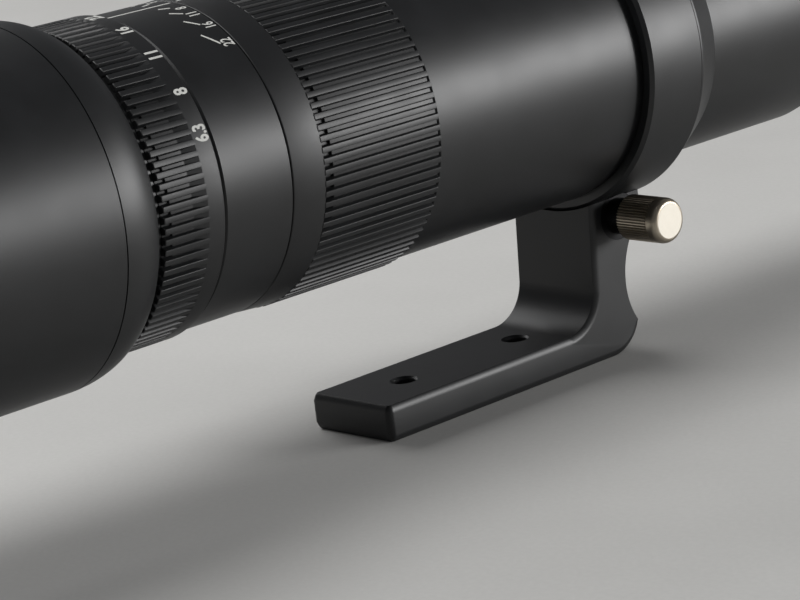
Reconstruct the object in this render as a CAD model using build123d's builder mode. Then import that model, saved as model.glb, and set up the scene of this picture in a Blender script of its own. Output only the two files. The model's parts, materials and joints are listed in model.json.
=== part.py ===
from build123d import *
import os
from math import atan2, cos, hypot, radians, sin, sqrt

# A manual telephoto prime lens in its tripod collar, standing on the collar's foot.
# Millimetres. The optical axis is Y, with the origin at the centre of the rear mounting flange,
# the front of the lens towards -Y, up along +Z and the clamp knob on the +X side.

# Outer radii
barrel_radius = 41.0
grip_radius = 42.0
scale_radius = 41.1
hood_radius = 46.8
collar_radius = 44.3
rear_radius = 37.4

# Places along the axis, from the flange towards the front
rear_taper = -21.0
rear_front = -79.4
collar_back = -88.5
collar_front = -110.0
barrel_back = -112.5
focus_back = -188.2
grip_front = -228.9
scale_back = -239.2
aperture_back = -261.4
aperture_front = -281.0
front_barrel_back = -283.3
hood_back = -296.4
hood_front = -354.0

# Fits
running = 0.05
sliding_gap = 0.1

# Ribs of the two turning rings
focus_ribs = 92
aperture_ribs = 96
rib_depth = 0.8
focus_groove = 0.95
aperture_groove = 1.15

# The tripod foot, with its places measured from the collar's front edge
foot_origin = -107.0
foot_width = 31.5
foot_tip = -87.8
foot_top = -76.95
foot_bottom = -87.1
leg_front = -5.2
leg_front_top = -2.9
leg_back = 18.0
leg_fillet = 12.0
heel_radius = 10.9
heel_y = 1.9
scallop_radius = 22.4
scallop_y = 31.7
scallop_z = -66.9
tripod_hole_radius = 3.175
tripod_holes = (-67.0, -23.0)
hole_mouth = 0.8
foot_edge = 1.15

# The clamp knob and its screw, across the leg
clamp_y = -99.4
clamp_z = -46.9
shoe_radius = 7.0
knob_radius = 6.5
knob_base = 21.0
knob_end = 35.6
knob_ribs = 48
knob_groove = 0.42

# The iris, which rests closed to its smallest opening
blade_count = 9
iris_opening = 26.2
blade_inner = 26.4
blade_outer = 35.8
blade_span = 100
blade_tail = 6
blade_thickness = 0.15
layer_pitch = 0.25
pivot_circle = 37.2
drive_circle = 37.6
drive_lead = 10
pin_radius = 0.5
slot_clearance = 0.13
blade_turn = 25.0
ring_turn = 64.0
base_front = -266.5
cam_back = -269.0
cam_front = -270.2
drive_pin_y = -274.0
drive_pin_angle = 264

# The focusing group
focus_travel = 10.0
key_radius = 1.5
key_y = -212.0
key_count = 3

# The rear mount
flange_radius = 31.0
throat_radius = 23.5
screw_circle = 28.6
screw_radius = 1.0
screw_head = 1.85

os.makedirs("parts", exist_ok=True)


def across(y):
    """The plane square to the optical axis at y, with its normal towards the rear."""
    return Plane(origin=(0, y, 0), x_dir=(1, 0, 0), z_dir=(0, 1, 0))


def turned(*outline, plane=Plane.XY, axis=Axis.Y, arc=360, mode=Mode.ADD):
    """A closed outline of points turned around an axis in the part being built."""
    with BuildSketch(plane) as half:
        with BuildLine():
            Polyline(*outline, close=True)
        make_face()
    revolve(half.sketch, axis, arc, mode=mode)


def tube(outer, inner, front, back, mode=Mode.ADD):
    """A plain tube around the optical axis."""
    turned((inner, front), (outer, front), (outer, back), (inner, back), mode=mode)


def grooves(count, floor, width, front, back):
    """Straight grooves cut along a ring, from a floor radius outwards."""
    with BuildSketch(across(front)) as pattern:
        with PolarLocations(floor + rib_depth, count):
            Rectangle(2 * rib_depth, width)
    extrude(pattern.sketch, amount=back - front, mode=Mode.SUBTRACT)


def cap_height(radius, edge_radius, bulge):
    """How far a ground face stands out of its edge plane at a radius."""
    ball = (edge_radius**2 + bulge**2) / (2 * bulge)
    return sqrt(ball**2 - radius**2) - (ball - bulge) if bulge > 0 else 0


def ground_face(edge_radius, edge, bulge, way):
    """Half of a spherical glass face: hollow with a negative bulge, way is -1 at the front."""
    sign = 1 if bulge > 0 else -1
    middle = sign * cap_height(edge_radius / 2, edge_radius, abs(bulge))
    ThreePointArc(
        (0, edge + way * bulge), (edge_radius / 2, edge + way * middle), (edge_radius, edge)
    )


def lens(edge_radius, front, back, front_bulge, back_bulge):
    """A glass element between its two edges."""
    with BuildSketch() as half:
        with BuildLine() as outline:
            ground_face(edge_radius, front, front_bulge, -1)
            ground_face(edge_radius, back, back_bulge, 1)
            Line((edge_radius, front), (edge_radius, back))
            Line((0, front - front_bulge), (0, back + back_bulge))
        make_face(outline.edges())
    revolve(half.sketch, Axis.Y)


def save(piece, name):
    """Label a finished piece and write its file."""
    piece.part.label = name
    export_step(piece.part, f"parts/{name}.step")


# Hood: a sleeve that slides forwards off the front barrel, held by its rear lip
hood_wall = 1.7
hood_bore = hood_radius - hood_wall
hood_mouth = 43.6
hood_rim = 2.3
lip_bore = 44.5
lip_length = 3.0
with BuildPart() as hood:
    turned(
        (hood_mouth, hood_front + 0.5),
        (hood_mouth + 0.5, hood_front),
        (hood_radius - 0.6, hood_front),
        (hood_radius, hood_front + 0.6),
        (hood_radius, hood_back - 0.3),
        (hood_radius - 0.3, hood_back),
        (lip_bore, hood_back),
        (lip_bore, hood_back - lip_length),
        (hood_bore, hood_back - lip_length),
        (hood_bore, hood_front + hood_rim),
        (hood_mouth, hood_front + hood_rim),
    )
save(hood, "hood")

# Front barrel: a slim tube under the hood that swells into the rounded shoulder behind it
shoulder_drop = 6.3
shoulder_length = 13.5
shoulder_turn = 75
front_tube_radius = lip_bore - sliding_gap
filter_flange_back = -348.6
cell_bore = 42.0
cell_back = -306.0
spigot_radius = 40.2
spigot_front = -290.0
iris_bore = 39.2
with BuildPart() as front_barrel:
    with BuildSketch():
        with BuildLine():
            shoulder = EllipticalCenterArc(
                (hood_radius - shoulder_drop, hood_back + 0.1),
                shoulder_drop,
                shoulder_length,
                0,
                arc_size=shoulder_turn,
            )
            Polyline(
                shoulder @ 0,
                (front_tube_radius, hood_back + 0.1),
                (front_tube_radius, filter_flange_back),
                (cell_bore, filter_flange_back),
                (cell_bore, cell_back),
                (iris_bore, cell_back),
                (iris_bore, spigot_front),
                (spigot_radius, spigot_front),
                (spigot_radius, front_barrel_back),
                shoulder @ 1,
            )
        make_face()
    revolve(axis=Axis.Y)
save(front_barrel, "front_barrel")

# Filter ring: carries the filter thread and stops the hood's lip
filter_radius = 41.0
filter_thread = 5.0
filter_flange = 45.0
filter_bore = 40.2
filter_front = -351.5
filter_back = -343.0
with BuildPart() as filter_ring:
    turned(
        (filter_radius, filter_front),
        (filter_flange - 0.4, filter_front),
        (filter_flange, filter_front + 0.4),
        (filter_flange, filter_flange_back),
        (cell_bore, filter_flange_back),
        (cell_bore, filter_back),
        (filter_bore, filter_back),
        (filter_bore, filter_front + filter_thread),
        (filter_radius, filter_front + filter_thread),
    )
save(filter_ring, "filter_ring")

# Front cell with its two elements, spacer and retaining ring.
# Each seat is a flat shoulder or ring face that meets the bulging glass at its bore.
cell_front = -334.5
glass_radius = 39.3
glass_bore = 39.4
first_front, first_back = -329.0, -325.5
first_bulge, first_back_bulge = 4.1, 0.9
second_front, second_back = -321.5, -317.0
second_bulge, second_back_bulge = -2.2, 2.9
shoulder_bore = 37.8
with BuildPart() as front_cell:
    shoulder_front = second_back + cap_height(shoulder_bore, glass_radius, second_back_bulge)
    turned(
        (glass_bore, cell_front),
        (cell_bore, cell_front),
        (cell_bore, cell_back),
        (shoulder_bore, cell_back),
        (shoulder_bore, shoulder_front),
        (glass_bore, shoulder_front),
    )
save(front_cell, "front_cell")

with BuildPart() as front_element:
    lens(glass_radius, first_front, first_back, first_bulge, first_back_bulge)
save(front_element, "front_element")

spacer_bore = 38.3
with BuildPart() as element_spacer:
    spacer_front = first_back + cap_height(spacer_bore, glass_radius, first_back_bulge)
    tube(glass_bore, spacer_bore, spacer_front, second_front)
save(element_spacer, "element_spacer")

with BuildPart() as second_element:
    lens(glass_radius, second_front, second_back, second_bulge, second_back_bulge)
save(second_element, "second_element")

ring_bore = 38.4
with BuildPart() as front_retaining_ring:
    ring_back = first_front - cap_height(ring_bore, glass_radius, first_bulge)
    turned(
        (ring_bore, cell_front + 1.1),
        (ring_bore + 0.5, cell_front),
        (glass_bore, cell_front),
        (glass_bore, ring_back),
        (ring_bore, ring_back),
    )
save(front_retaining_ring, "front_retaining_ring")

# Scale barrel: fixed between the two rings, with the spigots that both rings turn on
focus_seat_radius = 39.85
focus_seat_back = -229.0
guide_radius = 37.9
web_bore = 34.5
web_front = -264.5
web_back = -262.5
drive_pin_radius = 1.0
drive_pin_inner = 36.9
drive_pin_length = 4.4
with BuildPart() as scale_barrel:
    turned(
        (iris_bore, spigot_front),
        (spigot_radius, spigot_front),
        (spigot_radius, aperture_back + 0.2),
        (scale_radius - 0.6, aperture_back + 0.2),
        (scale_radius, aperture_back + 0.8),
        (scale_radius, scale_back - 0.3),
        (scale_radius - 0.3, scale_back),
        (focus_seat_radius, scale_back),
        (focus_seat_radius, focus_seat_back),
        (guide_radius, focus_seat_back),
        (guide_radius, web_back),
        (web_bore, web_back),
        (web_bore, web_front),
        (iris_bore, web_front),
    )
    # The slot that the aperture ring's drive pin travels in
    way_margin = 3
    pin_way = ring_turn + 2 * way_margin
    way_width = 2 * drive_pin_radius + 0.3
    with BuildSketch(across(drive_pin_y - way_width / 2)) as slot:
        with BuildLine():
            start = drive_pin_angle - ring_turn - way_margin
            inner_way = CenterArc((0, 0), iris_bore - 0.5, start, pin_way)
            outer_way = CenterArc((0, 0), spigot_radius + 0.5, start, pin_way)
            Line(inner_way @ 0, outer_way @ 0)
            Line(inner_way @ 1, outer_way @ 1)
        make_face()
    extrude(slot.sketch, amount=way_width, mode=Mode.SUBTRACT)
save(scale_barrel, "scale_barrel")

# Aperture ring: ribs with bevelled front ends, and a plain band behind them for its numerals
band_front = -267.5
with BuildPart() as aperture_ring:
    tube(grip_radius, spigot_radius + running, aperture_front, aperture_back)
    outer_edges = aperture_ring.edges().filter_by(GeomType.CIRCLE).group_by(SortBy.RADIUS)[-1]
    chamfer(outer_edges.sort_by(Axis.Y)[0], 0.7)
    chamfer(outer_edges.sort_by(Axis.Y)[-1], 0.3)
    grooves(aperture_ribs, grip_radius - rib_depth, aperture_groove, aperture_front - 1, band_front)
    with BuildSketch(Plane.YZ) as pin_seat:
        with Locations((drive_pin_y, 0)):
            Circle(drive_pin_radius)
    seat_cut = extrude(pin_seat.sketch, amount=drive_pin_inner + drive_pin_length, mode=Mode.PRIVATE)
    add(seat_cut.rotate(Axis.Y, drive_pin_angle), mode=Mode.SUBTRACT)
save(aperture_ring, "aperture_ring")

with BuildPart() as aperture_drive_pin:
    with BuildSketch(Plane.YZ.offset(drive_pin_inner)) as pin_end:
        with Locations((drive_pin_y, 0)):
            Circle(drive_pin_radius)
    pin_rod = extrude(pin_end.sketch, amount=drive_pin_length, mode=Mode.PRIVATE)
    add(pin_rod.rotate(Axis.Y, drive_pin_angle))
save(aperture_drive_pin, "aperture_drive_pin")

# Iris base plate with a pivot hole for each blade
with BuildPart() as iris_base:
    with BuildSketch(across(base_front)):
        Circle(iris_bore)
        Circle(iris_opening, mode=Mode.SUBTRACT)
        with PolarLocations(pivot_circle, blade_count):
            Circle(pin_radius + running, mode=Mode.SUBTRACT)
    extrude(amount=web_front - base_front)
save(iris_base, "iris_base")


def drive_point(turn):
    """A blade's drive pin, seen from the turning cam plate, with the blade closed by turn degrees."""
    lead, closed = radians(drive_lead), radians(turn)
    x = drive_circle * cos(lead) - pivot_circle
    y = drive_circle * sin(lead)
    x, y = (
        pivot_circle + x * cos(closed) - y * sin(closed),
        x * sin(closed) + y * cos(closed),
    )
    angle = atan2(y, x) - radians(turn * ring_turn / blade_turn)
    return hypot(x, y) * cos(angle), hypot(x, y) * sin(angle)


# Iris cam plate: nine curved slots and three posts that reach forward to the cover
slot_radius = pin_radius + slot_clearance
slot_steps = 8
slot_points = [drive_point(blade_turn * (i * 1.04 / slot_steps - 0.02)) for i in range(slot_steps + 1)]
post_count = 3
post_front = -276.8
post_circle = 37.7
with BuildSketch(across(cam_front)) as cam_slot:
    with BuildLine():
        Spline(*slot_points)
    trace(line_width=2 * slot_radius)
    with Locations(slot_points[0], slot_points[-1]):
        Circle(slot_radius)
with BuildPart() as iris_cam:
    tube(iris_bore - sliding_gap, iris_opening, cam_front, cam_back)
    for i in range(blade_count):
        turned_slot = cam_slot.sketch.rotate(Axis.Y, ring_turn + 360 / blade_count * i)
        extrude(turned_slot, amount=cam_back - cam_front, mode=Mode.SUBTRACT)
    with BuildSketch(across(post_front)) as posts:
        with PolarLocations(post_circle, post_count, start_angle=drive_pin_angle):
            Rectangle(2.2, 4.4)
    extrude(posts.sketch, amount=cam_front - post_front)
    add(seat_cut.rotate(Axis.Y, drive_pin_angle), mode=Mode.SUBTRACT)
save(iris_cam, "iris_cam")

cover_front = -278.2
cover_back = -277.0
with BuildPart() as iris_cover:
    tube(iris_bore, iris_opening, cover_front, cover_back)
save(iris_cover, "iris_cover")


def blade_flat(y):
    """The flat shape of one blade, with its pivot at angle 0 and its ears outside the band."""
    with BuildSketch(across(y)) as flat:
        with BuildLine():
            inner = CenterArc((0, 0), blade_inner, -blade_tail, blade_span + blade_tail)
            outer = CenterArc((0, 0), blade_outer, -blade_tail, blade_span + blade_tail)
            Line(inner @ 0, outer @ 0)
            Line(inner @ 1, outer @ 1)
        make_face()
        for angle, circle in ((0, pivot_circle), (drive_lead, drive_circle)):
            with PolarLocations(circle, 1, start_angle=angle):
                Circle(2.2 * pin_radius)
            with PolarLocations((circle + blade_outer) / 2, 1, start_angle=angle):
                Rectangle(circle - blade_outer + 0.4, 4.4 * pin_radius)
    return flat.sketch


# Iris blades: each in a thin layer of its own, with a pivot pin behind and a drive pin in front
pivot_reach = 1.6
for blade_number in range(blade_count):
    turn = 360 / blade_count * blade_number
    layer = base_front - 0.1 - layer_pitch * blade_number
    with BuildPart() as blade:
        extrude(blade_flat(layer - blade_thickness), amount=blade_thickness)
        with BuildSketch(across(layer - blade_thickness)):
            with PolarLocations(pivot_circle, 1):
                Circle(pin_radius)
        extrude(amount=blade_thickness + base_front - layer + pivot_reach)
        with BuildSketch(across(cam_front + 0.1)):
            with PolarLocations(drive_circle, 1, start_angle=drive_lead):
                Circle(pin_radius)
        extrude(amount=layer - cam_front - 0.1)
    closed = blade.part.rotate(Axis((pivot_circle, 0, 0), (0, 1, 0)), blade_turn)
    blade.part = closed.rotate(Axis.Y, turn)
    save(blade, f"iris_blade_{blade_number + 1}")

# Focus ring: flat-topped ribs, bevelled at the front, behind a plain sleeve
grip_bore = focus_seat_radius + running
with BuildPart() as focus_ring:
    turned(
        (grip_bore, scale_back + 0.2),
        (scale_radius - 0.3, scale_back + 0.2),
        (scale_radius, scale_back + 0.5),
        (scale_radius, grip_front - 0.3),
        (grip_radius, grip_front + 2.6),
        (grip_radius, focus_back - 0.6),
        (grip_radius - 0.4, focus_back - 0.2),
        (grip_bore, focus_back - 0.2),
    )
    grooves(focus_ribs, grip_radius - rib_depth, focus_groove, grip_front - 0.3, focus_back + 1)
save(focus_ring, "focus_ring")


def radial_pins(radius, inner, outer, mode=Mode.ADD):
    """Round pins that point at the axis, one for each guide slot."""
    for i in range(key_count):
        with BuildSketch(Plane.YZ.offset(inner)) as end:
            with Locations((key_y, 0)):
                Circle(radius)
        pin = extrude(end.sketch, amount=outer - inner, mode=Mode.PRIVATE)
        add(pin.rotate(Axis.Y, 30 + 360 / key_count * i), mode=mode)


# Focusing group: a threaded slider in the focus ring, keyed to the lens cell inside the guide tube
slider_front = -218.0
slider_back = -206.0
key_inner = 33.5
key_outer = 39.4
with BuildPart() as focus_slider:
    tube(focus_seat_radius, guide_radius + sliding_gap, slider_front, slider_back)
    radial_pins(key_radius, guide_radius - 1, key_outer, mode=Mode.SUBTRACT)
save(focus_slider, "focus_slider")

with BuildPart() as focus_keys:
    radial_pins(key_radius, key_inner, key_outer)
save(focus_keys, "focus_keys")

guide_bore = 36.4
guide_front = -236.0
guide_back = -196.0
with BuildPart() as guide_tube:
    tube(guide_radius, guide_bore, guide_front, guide_back)
    for i in range(key_count):
        with BuildSketch(Plane.YZ.offset(guide_bore - 1)) as way:
            with Locations((key_y - focus_travel / 2, 0)):
                SlotOverall(focus_travel + 2 * key_radius + 0.4, 2 * key_radius + 0.1)
        key_way = extrude(way.sketch, amount=guide_radius - guide_bore + 2, mode=Mode.PRIVATE)
        add(key_way.rotate(Axis.Y, 30 + 360 / key_count * i), mode=Mode.SUBTRACT)
save(guide_tube, "guide_tube")

# Its cell holds two elements between a shoulder, a spacer and a retaining ring
cell_land = 36.3
focus_glass = 25.5
focus_bore = 25.6
focus_cell_front = -221.0
third_front, third_back = -217.5, -212.5
third_bulge, third_back_bulge = 1.2, 2.0
fourth_front, fourth_back = -209.0, -205.0
focus_seat_bore = 24.2
with BuildPart() as focus_cell:
    hub, rim, web = 27.6, 32.5, 2.5
    turned(
        (focus_bore, focus_cell_front),
        (hub, focus_cell_front),
        (hub, key_y - web),
        (rim, key_y - web),
        (rim, slider_front),
        (cell_land, slider_front),
        (cell_land, slider_back),
        (rim, slider_back),
        (rim, key_y + web),
        (hub, key_y + web),
        (hub, fourth_back + 2),
        (focus_seat_bore, fourth_back + 2),
        (focus_seat_bore, fourth_back),
        (focus_bore, fourth_back),
    )
    radial_pins(key_radius, key_inner, cell_land + 1, mode=Mode.SUBTRACT)
save(focus_cell, "focus_cell")

with BuildPart() as focus_front_element:
    lens(focus_glass, third_front, third_back, third_bulge, third_back_bulge)
save(focus_front_element, "focus_front_element")

with BuildPart() as focus_rear_element:
    lens(focus_glass, fourth_front, fourth_back, -1.8, -1.2)
save(focus_rear_element, "focus_rear_element")

focus_spacer_bore = 24.6
with BuildPart() as focus_spacer:
    spacer_front = third_back + cap_height(focus_spacer_bore, focus_glass, third_back_bulge)
    tube(focus_bore, focus_spacer_bore, spacer_front, fourth_front)
save(focus_spacer, "focus_spacer")

with BuildPart() as focus_retaining_ring:
    ring_back = third_front - cap_height(focus_seat_bore, focus_glass, third_bulge)
    tube(focus_bore, focus_seat_bore, focus_cell_front, ring_back)
save(focus_retaining_ring, "focus_retaining_ring")

# Main barrel: from the focus ring back to the seat that turns inside the tripod collar
seat_radius = 40.5
seat_front = -114.0
thread_radius = 38.6
rear_spigot = 35.6
rear_spigot_front = -95.0
barrel_bore = 38.2
with BuildPart() as main_barrel:
    turned(
        (guide_radius, guide_back - 8),
        (focus_seat_radius, guide_back - 8),
        (focus_seat_radius, focus_back),
        (barrel_radius - 0.4, focus_back),
        (barrel_radius, focus_back + 0.4),
        (barrel_radius, barrel_back - 0.3),
        (barrel_radius - 0.3, barrel_back),
        (seat_radius, barrel_back),
        (seat_radius, collar_back + 0.1),
        (thread_radius, collar_back + 0.1),
        (thread_radius, rear_front - 0.1),
        (rear_spigot, rear_front - 0.1),
        (rear_spigot, rear_spigot_front),
        (rear_spigot - 0.6, rear_spigot_front),
        (rear_spigot - 0.6, seat_front),
        (barrel_bore, seat_front),
        (barrel_bore, guide_back + 4),
        (guide_bore, guide_back + 4),
        (guide_bore, guide_back),
        (guide_radius, guide_back),
    )
save(main_barrel, "main_barrel")

# Collar retaining ring: the shallow cone behind the collar
cone_radius = 43.4
cone_back = rear_front + 3.2
with BuildPart() as collar_retaining_ring:
    turned(
        (thread_radius, collar_back + 0.2),
        (cone_radius, collar_back + 0.2),
        (cone_radius, collar_back + 0.8),
        (rear_radius + 0.3, cone_back),
        (rear_radius, cone_back),
        (rear_radius, rear_front + 0.1),
        (thread_radius, rear_front + 0.1),
    )
save(collar_retaining_ring, "collar_retaining_ring")

# Rear barrel: tapers to the mount and closes in behind the last element
rear_end = -3.5
rear_bore = 33.6
spigot_bore = 33.0
flange_seat = -6.0
with BuildPart() as rear_barrel:
    turned(
        (spigot_bore, rear_spigot_front + 0.5),
        (rear_spigot, rear_spigot_front + 0.5),
        (rear_spigot, rear_front - 0.1),
        (rear_radius, rear_front - 0.1),
        (rear_radius, rear_taper),
        (35.2, rear_end - 3),
        (34.2, rear_end - 0.7),
        (33.2, rear_end),
        (flange_radius, rear_end),
        (flange_radius, flange_seat),
        (throat_radius + 1, flange_seat),
        (throat_radius + 1, flange_seat - 6),
        (rear_bore, flange_seat - 9),
        (rear_bore, rear_front + 3.4),
        (spigot_bore, rear_front + 3.4),
    )
    with BuildSketch(across(flange_seat - 5)) as tapped:
        with PolarLocations(screw_circle, 4, start_angle=45):
            Circle(screw_radius)
    extrude(tapped.sketch, amount=6, mode=Mode.SUBTRACT)
save(rear_barrel, "rear_barrel")

# Rear lens cell and its element
rear_glass = 19.9
rear_glass_bore = 20.0
rear_glass_front, rear_glass_back = -38.0, -31.0
rear_bulge = 2.4
rear_seat_bore = 18.6
rear_cell_back = rear_glass_back + 2
with BuildPart() as rear_cell:
    turned(
        (rear_glass_bore, rear_glass_front - 6),
        (rear_glass_bore + 2.5, rear_glass_front - 6),
        (rear_glass_bore + 2.5, rear_cell_back - 5),
        (rear_bore, rear_cell_back - 5),
        (rear_bore, rear_cell_back),
        (rear_seat_bore, rear_cell_back),
        (rear_seat_bore, rear_glass_back),
        (rear_glass_bore, rear_glass_back),
    )
save(rear_cell, "rear_cell")

with BuildPart() as rear_element:
    lens(rear_glass, rear_glass_front, rear_glass_back, rear_bulge, -0.9)
save(rear_element, "rear_element")

with BuildPart() as rear_retaining_ring:
    ring_back = rear_glass_front - cap_height(rear_seat_bore, rear_glass, rear_bulge)
    tube(rear_glass_bore, rear_seat_bore, rear_glass_front - 5, ring_back)
save(rear_retaining_ring, "rear_retaining_ring")

# Rear mount: a flange ring with a three-claw bayonet and four countersunk screws
claw_radius = 27.3
claw_neck = 25.3
claw_arc = 56
claw_thickness = 2.0
bayonet_length = 5.0
with BuildPart() as mount_ring:
    turned(
        (throat_radius, flange_seat),
        (flange_radius, flange_seat),
        (flange_radius, -0.3),
        (flange_radius - 0.3, 0),
        (claw_neck, 0),
        (claw_neck, bayonet_length),
        (throat_radius, bayonet_length),
    )
    with BuildSketch(across(bayonet_length - claw_thickness)) as claws:
        with BuildLine():
            claw_in = CenterArc((0, 0), claw_neck - 0.3, 0, claw_arc)
            claw_out = CenterArc((0, 0), claw_radius, 0, claw_arc)
            Line(claw_in @ 0, claw_out @ 0)
            Line(claw_in @ 1, claw_out @ 1)
        make_face()
        with PolarLocations(0, 2, start_angle=120, angular_range=120, rotate=True):
            add(claws.sketch)
    extrude(claws.sketch, amount=claw_thickness)
    with Locations(across(0)):
        with PolarLocations(screw_circle, 4, start_angle=45):
            CounterSinkHole(screw_radius + 0.1, screw_head + 0.05, -flange_seat)
        # The lock pin's hole
        with PolarLocations(screw_circle, 1, start_angle=8):
            Hole(1.3, 3)
save(mount_ring, "mount_ring")

screw_length = 10.0
head_depth = screw_head - screw_radius
below = (Align.CENTER, Align.CENTER, Align.MAX)
with BuildPart() as mount_screws:
    with Locations(across(0)):
        with PolarLocations(screw_circle, 4, start_angle=45):
            Cone(screw_radius, screw_head, head_depth, align=below)
            Cylinder(screw_radius, screw_length, align=below)
save(mount_screws, "mount_screws")

# Rear baffle: a plate with a rectangular window in the throat
window = (38, 28)
with BuildPart() as rear_baffle:
    with BuildSketch(across(flange_seat + 0.5)):
        Circle(throat_radius)
        RectangleRounded(*window, 2, mode=Mode.SUBTRACT)
    extrude(amount=1.2)
save(rear_baffle, "rear_baffle")


def rod(radius, start, end, mode=Mode.ADD):
    """A round bar along the clamp's axis, between two places across the lens."""
    with BuildSketch(Plane.YZ.offset(start)) as face:
        with Locations((clamp_y, clamp_z)):
            Circle(radius)
    extrude(face.sketch, amount=end - start, mode=mode)


def upright(radius, places, bottom, top, mode=Mode.ADD):
    """Round bars that stand up from one height to another."""
    with BuildSketch(Plane.XY.offset(bottom)) as face:
        with Locations(*places):
            Circle(radius)
    extrude(face.sketch, amount=top - bottom, mode=mode)


# Tripod clamp: two hollowed shoes in a bore across the leg, drawn together by the knob's stud
shoe_end = -9.4
shoe_gap = 1.0
shoe_face = 15.6
washer_face = 20.4
boss_radius = 5.2
stud_radius = 2.5
stud_end = -8.0
stud_grip = 8.0


def clamp_bore():
    """The bore across the leg that holds the two clamp shoes, open on the knob's side."""
    rod(shoe_radius + running, shoe_end - 0.2, foot_width / 2 + 6, mode=Mode.SUBTRACT)


# Tripod collar: the ring that holds the barrel
lining_bore = seat_radius + running
collar_bore = 41.3
foot_screw_radius = 1.6
foot_head_radius = 2.9
foot_head_seat = -41.0
foot_screw_end = -53.0
screw_places = ((-12.7, clamp_y - 5), (-12.7, clamp_y + 5))
with BuildPart() as collar_ring:
    tube(collar_radius, collar_bore, collar_front, collar_back)
    rims = collar_ring.edges().filter_by(GeomType.CIRCLE).group_by(SortBy.RADIUS)[-1]
    chamfer(rims, 1.0)
    clamp_bore()
    upright(foot_screw_radius, screw_places, -50, foot_head_seat, mode=Mode.SUBTRACT)
    upright(foot_head_radius + 0.1, screw_places, foot_head_seat, -30, mode=Mode.SUBTRACT)
save(collar_ring, "collar_ring")

with BuildPart() as collar_lining:
    tube(collar_bore, lining_bore, collar_front + 0.5, collar_back - 0.5)
    clamp_bore()
save(collar_lining, "collar_lining")

# Foot: one milled piece, with a saddle under the collar and a scalloped back to the leg
with BuildPart() as foot:
    with BuildSketch(Plane.YZ.offset(-foot_width / 2)):
        with BuildLine():
            y0 = foot_origin
            cusp_y = heel_y + heel_radius
            cusp_z = scallop_z - sqrt(scallop_radius**2 - (scallop_y - cusp_y) ** 2)
            scallop_top = scallop_z + sqrt(scallop_radius**2 - (scallop_y - leg_back) ** 2)
            heel_z = foot_bottom + heel_radius
            Polyline(
                (y0 + leg_back, scallop_top),
                (y0 + leg_back, -38),
                (y0 + leg_front_top, -38),
                (y0 + leg_front_top, -42),
                (y0 + leg_front, foot_top),
                (y0 + foot_tip, foot_top),
                (y0 + foot_tip, foot_bottom),
                (y0 + heel_y, foot_bottom),
            )
            ThreePointArc(
                (y0 + leg_back, scallop_top),
                (y0 + scallop_y - scallop_radius, scallop_z),
                (y0 + cusp_y, cusp_z),
            )
            heel_middle = heel_radius * sqrt(0.5)
            ThreePointArc(
                (y0 + cusp_y, cusp_z),
                (y0 + heel_y + heel_middle, heel_z - heel_middle),
                (y0 + heel_y, foot_bottom),
            )
        make_face()
    extrude(amount=foot_width)
    corner = foot.edges().filter_by(Axis.X).sort_by_distance((0, y0 + leg_front, foot_top))[0]
    fillet(corner, leg_fillet)
    tip_edges = foot.edges().filter_by(Axis.Z).group_by(Axis.Y)[0]
    fillet(tip_edges, 2.0)
    sides = foot.faces().filter_by(Axis.X)
    chamfer(sides.edges(), foot_edge)
    tip_face = foot.faces().filter_by(Axis.Y).sort_by(Axis.Y)[0]
    chamfer(tip_face.edges().filter_by(Axis.X), foot_edge * 0.8)
    tube(collar_radius, 0, collar_front - 1, collar_back + 1, mode=Mode.SUBTRACT)
    clamp_bore()
    hole_places = [(0, y0 + y) for y in tripod_holes]
    for face, up in ((foot_top, 1), (foot_bottom, -1)):
        with Locations(Plane((0, 0, face), x_dir=(1, 0, 0), z_dir=(0, 0, up))):
            with Locations(*[(x, up * y) for x, y in hole_places]):
                CounterSinkHole(tripod_hole_radius, tripod_hole_radius + hole_mouth, 12)
    upright(foot_screw_radius, screw_places, foot_screw_end - 1, -38, mode=Mode.SUBTRACT)
save(foot, "foot")

with BuildPart() as foot_screws:
    upright(foot_screw_radius, screw_places, foot_screw_end, foot_head_seat)
    upright(foot_head_radius, screw_places, foot_head_seat, foot_head_seat + 0.9)
save(foot_screws, "foot_screws")

# The two shoes, each hollowed to the barrel
with BuildPart() as clamp_shoe_far:
    rod(shoe_radius, shoe_end, -shoe_gap)
    tube(lining_bore, 0, collar_front, collar_back, mode=Mode.SUBTRACT)
    rod(stud_radius + running, shoe_end - 1, shoe_gap, mode=Mode.SUBTRACT)
save(clamp_shoe_far, "clamp_shoe_far")

with BuildPart() as clamp_shoe_near:
    rod(shoe_radius, shoe_gap, shoe_face)
    rod(boss_radius, shoe_face, washer_face)
    tube(lining_bore, 0, collar_front, collar_back, mode=Mode.SUBTRACT)
    rod(stud_radius + 0.2, 0, washer_face + 1, mode=Mode.SUBTRACT)
save(clamp_shoe_near, "clamp_shoe_near")

# Clamp knob: straight ribs, a plain band and a bevelled cap
cap_length = 3.4
cap_face_radius = knob_radius - 1.5
knob_axis = Axis((0, clamp_y, clamp_z), (1, 0, 0))
with BuildPart() as clamp_knob:
    turned(
        (knob_base, 0),
        (knob_base, knob_radius - 0.8),
        (knob_base + 0.8, knob_radius),
        (knob_end - cap_length, knob_radius),
        (knob_end - cap_length, knob_radius - 0.25),
        (knob_end - 2.2, knob_radius - 0.25),
        (knob_end, cap_face_radius),
        (knob_end, 0),
        plane=Plane((0, clamp_y, clamp_z)),
        axis=knob_axis,
    )
    with BuildSketch(Plane.YZ.offset(knob_base - 1)) as knurl:
        with Locations((clamp_y, clamp_z)):
            with PolarLocations(knob_radius + 0.15, knob_ribs):
                Rectangle(1.1, knob_groove)
    extrude(knurl.sketch, amount=knob_end - cap_length - 0.8 - knob_base + 1, mode=Mode.SUBTRACT)
    rod(stud_radius, knob_base, knob_base + stud_grip, mode=Mode.SUBTRACT)
save(clamp_knob, "clamp_knob")

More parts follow.
